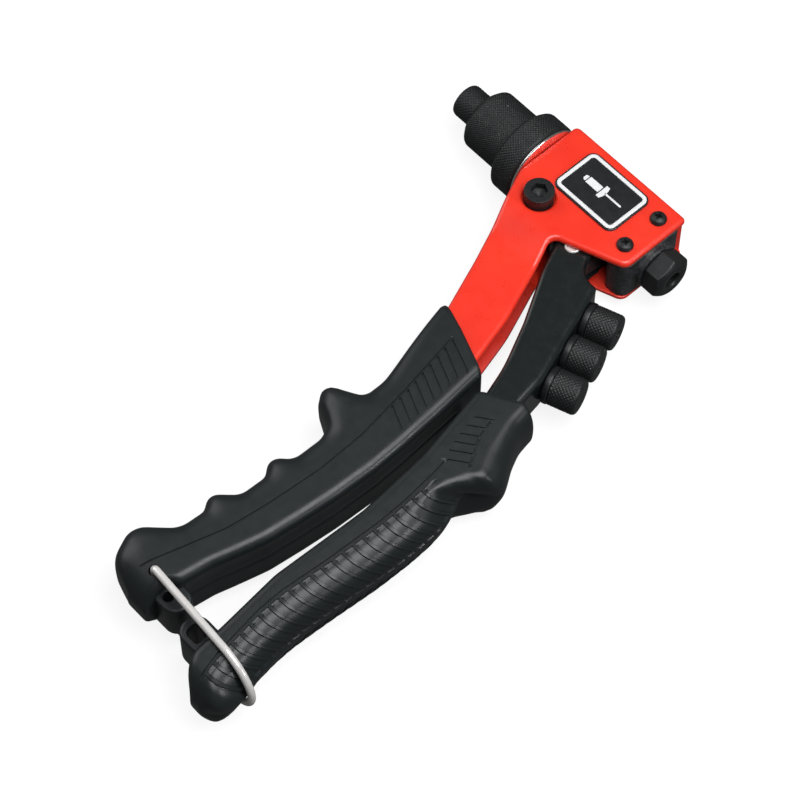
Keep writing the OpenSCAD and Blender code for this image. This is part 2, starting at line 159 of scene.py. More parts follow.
def rounded_slab(corners, z0, z1, edge=0.3, steps=4):
    """Extruded outline whose two rims are rounded."""
    rings = []

    def ring(inset, z):
        xy = rounded(corners, inset)
        rings.append(np.column_stack((xy, np.full(len(xy), z))))

    ring(edge * 1.5, z0)
    for k in range(steps + 1):
        a = math.pi / 2 * k / steps
        ring(edge * (1 - math.sin(a)), z0 + edge * (1 - math.cos(a)))
    for k in range(steps + 1):
        a = math.pi / 2 * k / steps
        ring(edge * (1 - math.cos(a)), z1 - edge * (1 - math.sin(a)))
    ring(edge * 1.5, z1)
    return loft(rings)


def split_long(points, longest):
    """Closed outline with no side longer than the given length."""
    out = []
    for a, b in zip(points, np.roll(points, -1, axis=0)):
        parts = max(1, math.ceil(np.linalg.norm(b - a) / longest))
        out += [a + (b - a) * k / parts for k in range(parts)]
    return np.array(out)


def turned(corners, count=128, longest=4.0, relief=None):
    """Solid of revolution about X from an (x, radius, corner radius) profile with a bore.

    relief(x, phi) gives how far a surface point moves out, where the profile is outermost."""
    area = sum(a[0] * b[1] - b[0] * a[1] for a, b in zip(corners, corners[1:] + corners[:1]))
    outline = rounded(corners if area > 0 else corners[::-1], chord=0.35)
    outline = split_long(outline, longest)
    phi = np.linspace(0, 2 * math.pi, count, endpoint=False)
    rings = []
    for x, r in outline:
        radius = np.full(count, r)
        if relief is not None:
            radius = radius + relief(x, r, phi)
        rings.append(np.column_stack((np.full(count, x), radius * np.cos(phi), radius * np.sin(phi))))
    return loft(rings, closed=True)


def knurl(radius, spacing, depth, x_low, x_high):
    """Relief of a crossed knurl of truncated pyramids on a cylinder about X."""
    lean = math.radians(45)
    teeth = round(2 * math.pi * radius * math.cos(lean) / spacing)

    def relief(x, r, phi):
        end = min(1.0, max(0.0, min(x - x_low, x_high - x) / 0.35 + 0.5))
        outer = min(1.0, max(0.0, (r - radius + 0.6) / 0.4))
        around = teeth * phi / (2 * math.pi)
        along = x * math.sin(lean) / spacing
        ridge_a = np.abs(2 * (around + along - np.round(around + along)))
        ridge_b = np.abs(2 * (around - along - np.round(around - along)))
        height = np.clip(1.35 * np.minimum(ridge_a, ridge_b), 0, 1)
        return -depth * (1 - height) * end * outer

    return relief


def hex_body(across, x_front, x_back, chamfer_r, turn, bore, count=192):
    """Hexagonal nut along X, chamfered at its back face, with a plain bore."""
    phi = np.linspace(0, 2 * math.pi, count, endpoint=False)
    within = (phi - turn) % (math.pi / 3) - math.pi / 6
    flat_r = across / 2 / np.cos(within)
    slope = math.tan(math.radians(30))
    soft = 0.22

    def ring(x, limit):
        r = -soft * np.log(np.exp(-flat_r / soft) + np.exp(-limit / soft))
        return np.column_stack((np.full(count, x), r * np.cos(phi), r * np.sin(phi)))

    def plain(x, r):
        return np.column_stack((np.full(count, x), r * np.cos(phi), r * np.sin(phi)))

    rings = [plain(x_front, bore), plain(x_front, across / 2 - 0.4)]
    rings += [ring(x_front - d, across / 2 - 0.15 + d * 4) for d in (0.0, 0.1, 0.25, 0.5)]
    depth = (across / 2 / math.cos(math.pi / 6) - chamfer_r) * slope
    rings += [ring(x, 99) for x in np.linspace(x_front - 0.8, x_back + depth * 1.6, 6)]
    for d in np.linspace(depth * 1.5, 0.12, 14):
        rings.append(ring(x_back + d, chamfer_r + d / slope))
    rings += [plain(x_back + 0.04, chamfer_r - 0.02), plain(x_back, chamfer_r - 0.15)]
    rings += [plain(x_back, bore + 0.5), plain(x_back + 0.08, bore + 0.3), plain(x_back + 0.4, bore)]
    rings += [plain(x, bore) for x in np.linspace(x_back + 1, x_front - 0.2, 5)]
    return loft(rings, closed=True)


def joined(*shells):
    points, faces, base = [], [], 0
    for p, f in shells:
        points.append(np.asarray(p, float))
        faces += [tuple(i + base for i in face) for face in f]
        base += len(p)
    return np.vstack(points), faces


def moved(shell, turn_z=0.0, by=(0, 0, 0), turn_x=0.0):
    """Shell turned about X, then about Z, both in degrees, and then shifted."""
    turn = Matrix.Rotation(math.radians(turn_z), 3, "Z") @ Matrix.Rotation(math.radians(turn_x), 3, "X")
    return np.asarray(shell[0]) @ np.array(turn).T + np.array(by, float), shell[1]


def upright(shell):
    """A shell turned about X stood up, so that its axis is +Z."""
    p = np.asarray(shell[0])
    return np.column_stack((p[:, 1], p[:, 2], p[:, 0])), shell[1]


def prism(outline, z0, z1):
    xy = np.asarray(outline, float)
    return loft([np.column_stack((xy, np.full(len(xy), z))) for z in (z0, z1)])


# ---- pieces ------------------------------------------------------------------------------------


def make_mesh(name, shell):
    mesh = bpy.data.meshes.new(name)
    mesh.from_pydata((np.asarray(shell[0]) * MM).tolist(), [], shell[1])
    bm = bmesh.new()
    bm.from_mesh(mesh)
    bmesh.ops.recalc_face_normals(bm, faces=bm.faces)
    bm.to_mesh(mesh)
    bm.free()
    return mesh


def cut(mesh, *cutters):
    """The mesh with each closed cutter shell taken out of it."""
    work = bpy.data.objects.new("work", mesh)
    bpy.context.scene.collection.objects.link(work)
    tools = []
    for shell in cutters:
        tool = bpy.data.objects.new("tool", make_mesh("tool", shell))
        bpy.context.scene.collection.objects.link(tool)
        step = work.modifiers.new("cut", "BOOLEAN")
        step.operation = "DIFFERENCE"
        step.solver = "EXACT"
        step.object = tool
        tools.append(tool)
    depsgraph = bpy.context.evaluated_depsgraph_get()
    result = bpy.data.meshes.new_from_object(work.evaluated_get(depsgraph))
    for o in tools + [work]:
        bpy.data.objects.remove(o)
    return result


def piece(name, shape, material, body, replaces=(), sharp=38):
    """Adds a visible piece, made of a shell or a mesh, that rides on a CAD body."""
    mesh = make_mesh(name, shape) if isinstance(shape, tuple) else shape
    obj = bpy.data.objects.new(name, mesh)
    bpy.context.scene.collection.objects.link(obj)
    mesh.materials.clear()
    mesh.materials.append(material)
    mesh.polygons.foreach_set("use_smooth", [True] * len(mesh.polygons))
    mesh.set_sharp_from_angle(angle=math.radians(sharp))
    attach(obj, body)
    if replaces:
        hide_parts(*replaces)
    return obj


# ---- materials ---------------------------------------------------------------------------------


class Nodes:
    """A short way to write a node material."""

    def __init__(self, name, colour, roughness, metallic=0.0, **fixed):
        self.material = bpy.data.materials.new(name)
        self.material.use_nodes = True
        self.tree = self.material.node_tree
        self.shader = self.tree.nodes["Principled BSDF"]
        self.place = self.add("ShaderNodeTexCoord").outputs["Object"]
        self.shader.inputs["Base Color"].default_value = (*colour, 1)
        self.shader.inputs["Roughness"].default_value = roughness
        self.shader.inputs["Metallic"].default_value = metallic
        for key, value in fixed.items():
            self.shader.inputs[key.replace("_", " ")].default_value = value

    def add(self, kind, **values):
        node = self.tree.nodes.new(kind)
        for key, value in values.items():
            setattr(node, key, value)
        return node

    def link(self, a, b):
        self.tree.links.new(a, b)

    def noise(self, size, detail=3.0, rough=0.55):
        """Noise whose features are about size millimetres across."""
        node = self.add("ShaderNodeTexNoise")
        node.inputs["Scale"].default_value = 1000.0 / size
        node.inputs["Detail"].default_value = detail
        node.inputs["Roughness"].default_value = rough
        self.link(self.place, node.inputs["Vector"])
        return node.outputs["Fac"]

    def cells(self, size):
        node = self.add("ShaderNodeTexVoronoi")
        node.inputs["Scale"].default_value = 1000.0 / size
        self.link(self.place, node.inputs["Vector"])
        return node.outputs["Distance"]

    def spread(self, value, low, high, to_low=0.0, to_high=1.0):
        node = self.add("ShaderNodeMapRange")
        node.inputs["From Min"].default_value = low
        node.inputs["From Max"].default_value = high
        node.inputs["To Min"].default_value = to_low
        node.inputs["To Max"].default_value = to_high
        self.link(value, node.inputs["Value"])
        return node.outputs["Result"]

    def mixed(self, factor, a, b):
        """Colour a where factor is 0 and b where it is 1; each is a colour or a socket."""
        node = self.add("ShaderNodeMix", data_type="RGBA")
        self.link(factor, node.inputs["Factor"])
        for index, value in ((6, a), (7, b)):
            if isinstance(value, tuple):
                node.inputs[index].default_value = (*value, 1)
            else:
                self.link(value, node.inputs[index])
        return node.outputs[2]

    def math(self, operation, a, b):
        node = self.add("ShaderNodeMath", operation=operation)
        for socket, value in zip(node.inputs, (a, b)):
            if isinstance(value, (int, float)):
                socket.default_value = value
            else:
                self.link(value, socket)
        return node.outputs[0]

    def bump(self, *heights):
        """Each height is (socket, strength, depth in millimetres)."""
        normal = None
        for socket, strength, depth in heights:
            node = self.add("ShaderNodeBump")
            node.inputs["Strength"].default_value = strength
            node.inputs["Distance"].default_value = depth * MM
            self.link(socket, node.inputs["Height"])
            if normal is not None:
                self.link(normal, node.inputs["Normal"])
            normal = node.outputs["Normal"]
        self.link(normal, self.shader.inputs["Normal"])

    def set_colour(self, socket):
        self.link(socket, self.shader.inputs["Base Color"])

    def set_roughness(self, socket):
        self.link(socket, self.shader.inputs["Roughness"])


def red_powder_coat():
    m = Nodes("red_powder_coat", (0.90, 0.035, 0.016), 0.3, Coat_Weight=0.35, Coat_Roughness=0.12)
    tint = m.spread(m.noise(22, 2), 0.35, 0.65)
    m.set_colour(m.mixed(tint, (0.88, 0.032, 0.015), (0.95, 0.042, 0.019)))
    m.set_roughness(m.spread(m.noise(3.5, 4), 0.3, 0.7, 0.26, 0.36))
    m.bump((m.noise(0.9, 3), 0.10, 0.06), (m.noise(5, 2), 0.05, 0.2))
    return m.material


def black_lever_paint():
    m = Nodes("black_lever_paint", (0.011, 0.014, 0.014), 0.24, Coat_Weight=0.4, Coat_Roughness=0.1)
    dust = m.spread(m.cells(2.6), 0.0, 0.035, 1.0, 0.0)
    dust = m.math("MULTIPLY", dust, m.spread(m.noise(7, 2), 0.56, 0.62))
    m.set_colour(m.mixed(dust, (0.009, 0.012, 0.012), (0.16, 0.15, 0.14)))
    m.set_roughness(m.spread(m.noise(4, 4), 0.3, 0.7, 0.2, 0.3))
    m.bump((m.noise(1.2, 3), 0.08, 0.06), (m.noise(9, 2), 0.06, 0.3))
    return m.material


def black_cast():
    m = Nodes("black_cast", (0.016, 0.018, 0.02), 0.5)
    patch = m.spread(m.noise(3.2, 5, 0.65), 0.42, 0.68)
    chip = m.spread(m.noise(0.7, 6, 0.7), 0.62, 0.68)
    base = m.mixed(patch, (0.014, 0.016, 0.018), (0.045, 0.05, 0.053))
    m.set_colour(m.mixed(chip, base, (0.3, 0.3, 0.29)))
    m.set_roughness(m.spread(m.noise(1.6, 5), 0.3, 0.7, 0.34, 0.6))
    m.bump((m.noise(0.45, 5, 0.65), 0.5, 0.12), (m.noise(2.4, 3), 0.25, 0.25))
    return m.material


def black_oxide(name, wear_and_glint=0.02):
    """Blackened machined steel with bright specks in its colour, partly worn metal and partly painted glints;
    the second argument sets how many show.
    """
    m = Nodes(name, (0.02, 0.022, 0.023), 0.42, metallic=0.35)
    patch = m.spread(m.noise(2.2, 4, 0.6), 0.4, 0.7)
    base = m.mixed(patch, (0.016, 0.018, 0.019), (0.024, 0.026, 0.026))
    # bright specks painted into the colour: partly worn bare metal, partly painted glints
    worn_glint_speck = m.spread(m.noise(0.55, 3, 0.5), 0.74 - wear_and_glint, 0.78 - wear_and_glint)
    m.set_colour(m.mixed(worn_glint_speck, base, (0.5, 0.48, 0.42)))
    m.set_roughness(m.spread(m.noise(0.8, 4), 0.3, 0.7, 0.36, 0.52))
    m.bump((m.noise(0.25, 3), 0.25, 0.04))
    return m.material


def grip_plastic():
    m = Nodes("grip_plastic", (0.012, 0.0155, 0.0168), 0.4)
    shade = m.spread(m.noise(14, 3), 0.35, 0.65)
    base = m.mixed(shade, (0.011, 0.0145, 0.0158), (0.013, 0.0166, 0.018))
    dust = m.spread(m.cells(3.4), 0.0, 0.03, 1.0, 0.0)
    dust = m.math("MULTIPLY", dust, m.spread(m.noise(11, 2), 0.58, 0.63))
    m.set_colour(m.mixed(dust, base, (0.2, 0.17, 0.12)))
    m.set_roughness(m.spread(m.noise(2.5, 5), 0.3, 0.7, 0.32, 0.4))
    m.bump((m.noise(0.3, 3, 0.6), 0.3, 0.05))
    return m.material


def bright_steel(name, metallic, roughness):
    m = Nodes(name, (0.92, 0.9, 0.88), roughness, metallic=metallic)
    tone = m.spread(m.noise(4, 3), 0.3, 0.7)
    m.set_colour(m.mixed(tone, (0.94, 0.92, 0.9), (0.88, 0.86, 0.84)))
    m.set_roughness(m.spread(m.noise(1.2, 4), 0.3, 0.7, roughness, roughness + 0.1))
    m.bump((m.noise(0.8, 3), 0.02, 0.02))
    return m.material


def bare_steel():
    m = Nodes("bare_steel", (0.45, 0.45, 0.44), 0.32, metallic=1.0)
    tone = m.spread(m.noise(3, 4), 0.3, 0.7)
    m.set_colour(m.mixed(tone, (0.48, 0.48, 0.47), (0.33, 0.32, 0.31)))
    m.set_roughness(m.spread(m.noise(0.8, 4), 0.3, 0.7, 0.24, 0.42))
    m.bump((m.noise(0.3, 3), 0.2, 0.03))
    return m.material


def badge_black():
    m = Nodes("badge_black", (0.012, 0.014, 0.016), 0.3, Coat_Weight=0.3, Coat_Roughness=0.08)
    m.set_colour(m.mixed(m.spread(m.noise(5, 3), 0.3, 0.7), (0.011, 0.013, 0.015), (0.017, 0.019, 0.021)))
    m.set_roughness(m.spread(m.noise(1.5, 4), 0.3, 0.7, 0.24, 0.36))
    m.bump((m.noise(0.5, 2), 0.06, 0.03))
    return m.material


def badge_white():
    m = Nodes("badge_white", (0.84, 0.85, 0.86), 0.35)
    m.set_colour(m.mixed(m.spread(m.noise(1.5, 4), 0.3, 0.7), (0.86, 0.87, 0.88), (0.78, 0.79, 0.8)))
    m.set_roughness(m.spread(m.noise(1.0, 3), 0.3, 0.7, 0.3, 0.42))
    m.bump((m.noise(0.4, 2), 0.08, 0.03))
    return m.material


def black_rubber():
    m = Nodes("black_rubber", (0.012, 0.013, 0.014), 0.36)
    m.set_colour(m.mixed(m.spread(m.noise(2, 3), 0.3, 0.7), (0.007, 0.008, 0.009), (0.012, 0.013, 0.014)))
    m.set_roughness(m.spread(m.noise(1.0, 3), 0.3, 0.7, 0.3, 0.46))
    m.bump((m.noise(0.4, 3), 0.15, 0.04))
    return m.material


RED = red_powder_coat()
LEVER_BLACK = black_lever_paint()
CAST = black_cast()
# Both oxide finishes carry bright specks that are partly worn metal and partly painted glints; the second has
# more of them.
OXIDE = black_oxide("black_oxide", 0.0)
OXIDE_WORN_GLINTS = black_oxide("black_oxide_worn_glints", 0.02)
GRIP = grip_plastic()
BRIGHT = bright_steel("satin_nickel", 0.3, 0.18)
POLISHED = bright_steel("polished_washer", 1.0, 0.16)
STEEL = bare_steel()
BADGE = badge_black()
WHITE = badge_white()
RUBBER = black_rubber()


# ---- pressed steel channels: the frame and the lever -------------------------------------------


def channel(corners, web_first, web_last, half, edge, hole=None):
    """Pressed channel: two plates with one outline, joined by a web along part of it.

    The web runs along the outline from the end of corner web_first to the start of corner
    web_last. hole is (x, y, radius) of a dished hole in the +Z plate."""
    steps = 5
    inner = half - SHEET
    lip = 0.35
    starts = corner_starts(corners)
    base = rounded(corners)
    count = len(base)
    ends = starts[1:] + [count]
    order = np.arange(count)
    first, last = ends[web_first] - 1, starts[web_last]
    on_web = (order >= first) | (order <= last) if first > last else (order >= first) & (order <= last)

    points, faces = [], []

    def add_ring(inset, z, web_inset=None):
        xy = rounded(corners, inset)
        if web_inset is not None:
            flush = rounded(corners, web_inset)
            xy[on_web] = flush[on_web]
        at = len(points)
        points.extend((x, y, z) for x, y in xy)
        return list(range(at, at + count))

    def bridge(a, b):
        for k in range(count):
            m = (k + 1) % count
            faces.append((a[k], a[m], b[m], b[k]))

    walls = {}
    for side in (1, -1):
        rings = [add_ring(edge * 1.35, side * half)]
        for k in range(steps + 1):
            a = math.pi / 2 * k / steps
            rings.append(add_ring(edge * (1 - math.sin(a)), side * (half - edge * (1 - math.cos(a)))))
        rings.append(add_ring(0, side * (inner + lip)))
        rings.append(add_ring(lip * 0.3, side * (inner + lip * 0.3), 0))
        rings.append(add_ring(lip, side * inner, 0))
        for a, b in zip(rings, rings[1:]):
            bridge(a, b)
        walls[side] = (rings[0], rings[-1], add_ring(SHEET, side * inner))

    span = [int((first + k) % count) for k in range(int((last - first) % count) + 1)]
    rest = [int((last + k) % count) for k in range(1, int((first - last) % count))]
    for side in (1, -1):
        outer, rim, inside = walls[side]
        loop = [inside[i] for i in span] + [rim[span[-1]]] + [rim[i] for i in rest] + [rim[span[0]]]
        faces.append(tuple(loop))
        if side < 0 or hole is None:
            faces.append(tuple(outer))
    for i, m in zip(span, span[1:]):
        faces.append((walls[1][1][i], walls[1][1][m], walls[-1][1][m], walls[-1][1][i]))
        faces.append((walls[1][2][i], walls[1][2][m], walls[-1][2][m], walls[-1][2][i]))
    for i in (span[0], span[-1]):
        faces.append((walls[1][1][i], walls[1][2][i], walls[-1][2][i], walls[-1][1][i]))
    if hole is not None:
        add_dished_hole(points, faces, walls[1][0], hole, half)
    return np.array(points, float), faces


def add_dished_hole(points, faces, rim, hole, z):
    """Fills the plate's face round a hole whose edge curves down to a sunk floor."""
    x, y, radius = hole
    sides, roll, floor = 72, 1.3, z - 1.9
    profile = [(radius + roll * 1.5, z), (radius + roll, z)]
    for k in range(1, 7):
        a = math.pi / 2 * k / 6
        profile.append((radius + roll * (1 - math.sin(a)), z - roll * (1 - math.cos(a)) * 0.7))
    profile += [(radius, floor), (radius - 1.5, floor)]
    rings = []
    for r, height in profile:
        at = len(points)
        for k in range(sides):
            a = 2 * math.pi * k / sides
            points.append((x + r * math.cos(a), y + r * math.sin(a), height))
        rings.append(list(range(at, at + sides)))
    for a, b in zip(rings, rings[1:]):
        for k in range(sides):
            m = (k + 1) % sides
            faces.append((a[k], a[m], b[m], b[k]))
    faces.append(tuple(rings[-1]))
    bm = bmesh.new()
    verts = {}
    for loop in (rim, rings[0]):
        for i in loop:
            verts[i] = bm.verts.new(points[i])
    for loop in (rim, rings[0]):
        for a, b in zip(loop, loop[1:] + loop[:1]):
            bm.edges.new((verts[a], verts[b]))
    back = {v: i for i, v in verts.items()}
    made = bmesh.ops.triangle_fill(bm, edges=bm.edges[:], use_beauty=True, use_dissolve=False)
    for g in made["geom"]:
        if isinstance(g, bmesh.types.BMFace):
            faces.append(tuple(back[v] for v in g.verts))
    bm.free()


def neck_in(mesh):
    """Narrows the frame from the width of the head to that of the handle, past the neck."""
    bm = bmesh.new()
    bm.from_mesh(mesh)
    low, high = NECK
    for y in np.arange(low - 1, high + 1.6, 0.75):
        geometry = bm.verts[:] + bm.edges[:] + bm.faces[:]
        bmesh.ops.bisect_plane(bm, geom=geometry, plane_co=(0, y * MM, 0), plane_no=(0, 1, 0))
    for v in bm.verts:
        t = min(1.0, max(0.0, (v.co.y / MM - low) / (high - low)))
        shift = (HEAD_HALF - HANDLE_HALF) * t * t * (3 - 2 * t)
        v.co.z -= math.copysign(shift * MM, v.co.z)
    bmesh.ops.recalc_face_normals(bm, faces=bm.faces)
    bm.to_mesh(mesh)
    bm.free()
    return mesh


def frame_piece():
    shell = channel(FRAME_OUTLINE, 14, 6, HEAD_HALF, 1.3, hole=(*BOLT_AT, 5.35))
    mesh = neck_in(make_mesh("frame_shell", shell))
    nose_hole = moved(prism(rounded([(-9.6, -9.6, 9.55), (9.6, -9.6, 9.55), (9.6, 9.6, 9.55),
                                     (-9.6, 9.6, 9.55)]), -4, 4))
    nose_hole = (np.column_stack((nose_hole[0][:, 2] - 38.5, nose_hole[0][:, 0], nose_hole[0][:, 1])),
                 nose_hole[1])
    mesh = cut(mesh, nose_hole)
    piece("frame_shell", mesh, RED, "body", ["frame"])


def lever_piece():
    shell = channel(LEVER_OUTLINE, 8, 13, LEVER_HALF, 1.9)
    piece("lever_channel", shell, LEVER_BLACK, "lever", ["lever"])


def lever_pin_piece():
    pin = upright(turned([(-7.9, 0.02, 0), (7.55, 0.02, 0), (7.55, 1.85, 0.15), (7.95, 2.1, 0.15),
                          (7.95, 2.45, 0.2), (7.5, 2.68, 0.2), (-7.5, 2.5, 0.2), (-7.9, 2.2, 0.2)], 64))
    piece("lever_pin_head", moved(pin, by=(*LEVER_PIN, 0)), BRIGHT, "body", ["lever_pin"])


# ---- head casting and its fasteners ------------------------------------------------------------


def cast_block():
    """The casting's own shape with the soft edges and slightly uneven skin of a die casting."""
    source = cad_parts["head_block"]
    work = bpy.data.objects.new("work", source.data.copy())
    bpy.context.scene.collection.objects.link(work)
    remesh = work.modifiers.new("skin", "REMESH")
    remesh.mode = "VOXEL"
    remesh.voxel_size = 0.3 * MM
    smooth = work.modifiers.new("soft", "SMOOTH")
    smooth.factor = 0.5
    smooth.iterations = 18
    depsgraph = bpy.context.evaluated_depsgraph_get()
    mesh = bpy.data.meshes.new_from_object(work.evaluated_get(depsgraph))
    bpy.data.objects.remove(work)
    mesh.name = "head_casting"
    piece("head_casting", mesh, CAST, "body", ["head_block"], sharp=60)


def cap_screw():
    """M6 cap screw whose head stands in the dished hole of the frame."""
    top = HEAD_HALF + 3.6
    floor = HEAD_HALF - 1.9
    socket_r, socket_turn = 2.9, 37
    head = upright(turned([(floor, 0.02, 0), (top - 0.35, 0.02, 0), (top, 0.4, 0), (top, 4.95, 0.28),
                           (floor, 4.95, 0)], 96))
    shank = upright(turned([(-14.9, 0.02, 0), (floor, 0.02, 0), (floor, 2.95, 0), (-14.9, 2.95, 0.4)], 48))
    mesh = make_mesh("clamp_screw", moved(head, by=(*BOLT_AT, 0)))
    turns = [math.radians(60 * k + socket_turn) for k in range(6)]
    corners = [(socket_r * math.cos(a), socket_r * math.sin(a), 0.12) for a in turns]
    socket = moved(prism(rounded(corners), top - 2.4, top + 1), by=(*BOLT_AT, 0))
    dimple = upright(turned([(top - 3.3, 0.02, 0), (top - 2.3, 0.02, 0), (top - 2.3, 2.3, 0)], 48))
    mesh = cut(mesh, socket, moved(dimple, by=(*BOLT_AT, 0)))
    piece("clamp_screw", mesh, OXIDE, "body", ["block_bolt"], sharp=28)
    shank_mesh = make_mesh("clamp_screw_shank", moved(shank, by=(*BOLT_AT, 0)))
    piece("clamp_screw_shank", shank_mesh, OXIDE, "body")


def clamp_nut():
    across, height, chamfer_r, bore = 10, 4, 4.7, 2.98
    nut = upright(hex_body(across, height, 0, chamfer_r, 0.0, bore))
    nut = moved(nut, by=(*BOLT_AT, -HEAD_HALF - height))
    piece("clamp_nut", nut, OXIDE, "body", ["block_bolt_nut"])


def pan_screws():
    """Four pan heads with crossed recesses, two on each plate."""
    head = upright(turned([(-6.4, 0.02, 0), (2.05, 0.02, 0), (2.0, 1.1, 1.5), (1.5, 2.35, 1.2),
                           (0.55, 2.8, 0.25), (0, 2.72, 0.1), (-0.1, 1.5, 0), (-6.4, 1.5, 0.2)], 64))
    blades = []
    for k in range(2):
        taper = [np.column_stack((x, y, np.full(4, z))) for z, x, y in
                 ((0.55, np.array((-0.55, 0.55, 0.55, -0.55)), np.array((-0.2, -0.2, 0.2, 0.2))),
                  (2.4, np.array((-1.65, 1.65, 1.65, -1.65)), np.array((-0.36, -0.36, 0.36, 0.36))))]
        blades.append(moved(loft(taper), turn_z=90 * k + 24))
    pit = upright(turned([(0.3, 0.02, 0), (2.4, 0.02, 0), (2.4, 0.95, 0), (0.9, 0.5, 0)], 32))
    mesh = cut(make_mesh("pan_screw", head), *blades, pit)
    points = np.array([v.co for v in mesh.vertices]) / MM
    faces = [tuple(p.vertices) for p in mesh.polygons]
    heads = []
    for y, turn in ((-SCREW_AT[1], 0), (SCREW_AT[1], 31)):
        up = moved((points, faces), turn_z=turn, by=(SCREW_AT[0], y, HEAD_HALF))
        down = moved((points, faces), turn_z=turn, turn_x=180, by=(SCREW_AT[0], y, -HEAD_HALF))
        heads += [up, down]
    piece("pan_screws", joined(*heads), OXIDE_WORN_GLINTS, "body", ["block_screws"], sharp=30)


def badge_corners(shrink, radius):
    half = [(size - shrink) / 2 for size in BADGE_SIZE]
    return [(BADGE_AT[0] + sx * half[0], BADGE_AT[1] + sy * half[1], radius)
            for sx, sy in ((-1, -1), (1, -1), (1, 1), (-1, 1))]


def badge():
    """Blank badge: black rim, raised white line and a plain field with a rivet drawn on it."""
    base = rounded_slab(badge_corners(0, 3.0), HEAD_HALF - 0.2, HEAD_HALF + 0.75, 0.3)
    field = rounded_slab(badge_corners(4.1, 1.2), HEAD_HALF + 0.5, HEAD_HALF + 0.85, 0.12)
    piece("badge_body", joined(base, field), BADGE, "body", ["badge_plate"])
    rings = []
    width, low = 1.35, HEAD_HALF + 0.6
    for k in range(13):
        a = math.pi * k / 12
        xy = rounded(badge_corners(1.2, 2.4), width / 2 * (1 - math.cos(a)))
        rings.append(np.column_stack((xy, np.full(len(xy), low + 0.1 + 0.32 * math.sin(a) ** 0.6))))
    for inset in (width, 0.0):
        xy = rounded(badge_corners(1.2, 2.4), inset)
        rings.append(np.column_stack((xy, np.full(len(xy), low))))
    piece("badge_line", loft(rings, closed=True), WHITE, "body", ["badge_border"])
    piece("badge_symbol", rivet_symbol(), WHITE, "body")


def rivet_symbol():
    """Plain drawing of a blind rivet: mandrel, domed flange, sleeve and mandrel head."""
    z0, z1 = HEAD_HALF + 0.75, HEAD_HALF + 0.95
    parts = [
        [(-8.6, -0.35, 0.3), (-1.4, -0.35, 0.05), (-1.4, 0.35, 0.05), (-8.6, 0.35, 0.3)],
        [(-1.2, -2.6, 0.3), (0.2, -2.6, 0.1), (0.2, 2.6, 0.1), (-1.2, 2.6, 0.3), (-2.0, 0, 3.0)],
        [(0.6, -1.35, 0.1), (6.2, -1.35, 0.1), (6.2, 1.35, 0.1), (0.6, 1.35, 0.1)],
        [(6.6, -1.2, 0.2), (7.8, -0.9, 0.8), (7.8, 0.9, 0.8), (6.6, 1.2, 0.2)],
    ]
    shells = [rounded_slab(corners, z0, z1, 0.05, 2) for corners in parts]
    return moved(joined(*shells), by=(*BADGE_AT, 0))


# ---- nose --------------------------------------------------------------------------------------


def nose():
    washer = turned([(-36.85, 9.65, 0.1), (-36.85, 14.6, 0.3), (-37.75, 14.6, 0.3), (-37.75, 9.65, 0.1)], 160)
    piece("washer_bright", washer, POLISHED, "body", ["spacer_washer"])

    ring = turned([(-27.3, 9.58, 0.2), (-27.3, 13.9, 0.5), (-28.35, 15.0, 0.5), (-35.6, 15.0, 0.5),
                   (-36.6, 14.1, 0.5), (-36.6, 9.58, 0.2)], 600, 0.17,
                  knurl(15.0, 0.85, 0.26, -35.7, -28.2))
    piece("lock_ring_knurled", ring, OXIDE_WORN_GLINTS, "lock_ring", ["lock_ring"], sharp=80)

    sleeve = turned([(-9.4, 4.58, 0.2), (-9.4, 8.9, 0.9), (-11.3, 11.15, 1.6), (-26.7, 11.15, 0.4),
                     (-27.1, 10.8, 0.2), (-27.1, 8.58, 0.2), (-18.2, 8.58, 0), (-18.2, 7, 0),
                     (-15.5, 7, 0), (-15.5, 4.58, 0)], 620, 0.14,
                    knurl(11.15, 0.66, 0.24, -26.6, -11.0))
    piece("nose_sleeve_knurled", sleeve, OXIDE_WORN_GLINTS, "nose_sleeve",
          ["nose_sleeve"], sharp=80)

    tip = nosepiece_shell(1.5, 6)
    piece("nosepiece_tip", tip, OXIDE, "nosepiece", ["nosepiece"], sharp=80)


def nosepiece_shell(bore, shank):
    back = -9.3
    return turned([(0, bore, 0.25), (0, 5.5, 0.9), (-1.0, 6.1, 0.5), (back + 0.1, 6.1, 0.35),
                   (back, 5.6, 0.2), (back, 4.45, 0.1), (back - shank, 4.45, 0.4),
                   (back - shank, bore, 0.1)], 224, 0.2,
                  knurl(6.1, 0.95, 0.26, back + 0.25, -0.75))


def rear_hex():
    body = hex_body(14, -90.1, -97.2, 5.7, math.radians(8 + 30), 2.9)
    spigot = turned([(-84.2, 5.35, 0), (-84.2, 6.2, 0.2), (-90.3, 6.2, 0), (-90.3, 5.35, 0)], 96)
    piece("rear_hex_cap", joined(body, spigot), OXIDE, "body", ["rear_cap"], sharp=50)


# ---- stored nosepieces -------------------------------------------------------------------------


def stored_place(i):
    tilt = math.radians(STORE_TILT)
    along = STORE_PITCH * i
    return STORE_FIRST[0] - along * math.sin(tilt), STORE_FIRST[1] + along * math.cos(tilt), 0


def stored_nosepieces():
    rings = []
    for i, bore in enumerate((1.25, 1.05, 0.75)):
        name = f"spare_nosepiece_{i + 1}"
        shell = moved(nosepiece_shell(bore, 8.2), 180 + STORE_TILT, stored_place(i), turn_x=23 * i)
        piece(name + "_tip", shell, OXIDE_WORN_GLINTS, name, [name], sharp=80)
        ring = turned([(-9.35, 4.6, 0.2), (-9.35, 6.25, 0.7), (-11.75, 6.3, 0.9), (-11.75, 4.6, 0.2)], 96)
        rings.append(moved(ring, 180 + STORE_TILT, stored_place(i)))
    piece("store_rubber_rings", joined(*rings), RUBBER, "lever", ["store_rings"])


# ---- grips -------------------------------------------------------------------------------------


